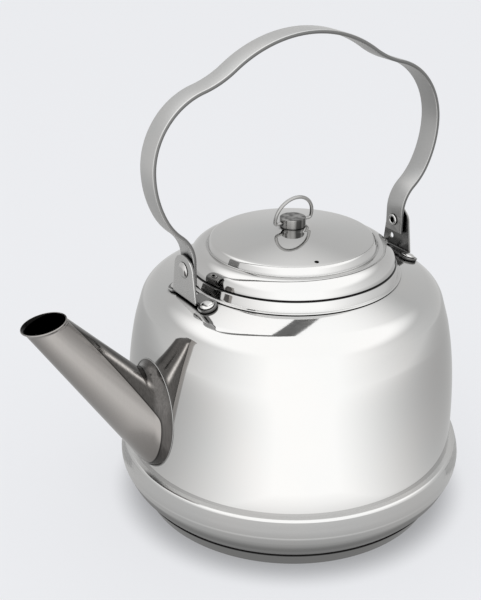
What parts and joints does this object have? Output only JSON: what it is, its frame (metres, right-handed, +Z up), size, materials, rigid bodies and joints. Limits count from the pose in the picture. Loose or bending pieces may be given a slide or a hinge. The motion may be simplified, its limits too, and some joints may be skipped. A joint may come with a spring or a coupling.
{
  "type": "tea kettle",
  "caption": "Stainless steel camping tea kettle with a straight slanted spout, a lift-off domed lid with a ring knob, and a swinging strap handle on riveted brackets.",
  "frame": {"origin": "middle of the flat bottom, on the kettle's own axis, level with the surface it stands on", "axes": "+Z up along the kettle's axis, spout towards -X, handle in the X-Z plane with its pivot axis along X"},
  "size_m": [0.3152, 0.2408, 0.3277],
  "materials": {
    "mirror_steel": "stainless steel, mirror polished",
    "polished_steel": "stainless steel, polished",
    "brushed_steel": "stainless steel, brushed to a satin sheen",
    "plain_steel": "stainless steel, as pressed"
  },
  "bodies": {
    "kettle": {"base_pan": "polished_steel", "body_shell": "mirror_steel", "neck_collar": "mirror_steel", "spout_tube": "polished_steel", "front_bracket": "brushed_steel", "rear_bracket": "brushed_steel", "front_foot_rivet_left": "polished_steel", "front_foot_rivet_right": "polished_steel", "rear_foot_rivet_left": "polished_steel", "rear_foot_rivet_right": "polished_steel", "front_pivot_rivet": "polished_steel", "rear_pivot_rivet": "polished_steel", "front_pivot_washer": "plain_steel", "rear_pivot_washer": "plain_steel"},
    "lid": {"lid_shell": "mirror_steel", "lid_skirt": "plain_steel", "lid_knob": "polished_steel", "knob_rivet": "plain_steel"},
    "ring": {"knob_ring": "polished_steel"},
    "handle": {"handle_strap": "brushed_steel"}
  },
  "joints": [
    {"name": "handle_swing", "type": "hinge", "parent": "kettle", "child": "handle", "pos_m": [0.0041, 0, 0.1847], "axis": [1, 0, 0], "range_deg": [-94, 94]},
    {"name": "lid_lift", "type": "slide", "parent": "kettle", "child": "lid", "axis": [0, 0, 1], "range_m": [0, 0.06]},
    {"name": "ring_swing", "type": "hinge", "parent": "lid", "child": "ring", "pos_m": [0, 0, 0.20105], "axis": [1, 0, 0], "range_deg": [-112, 88]}
  ]
}
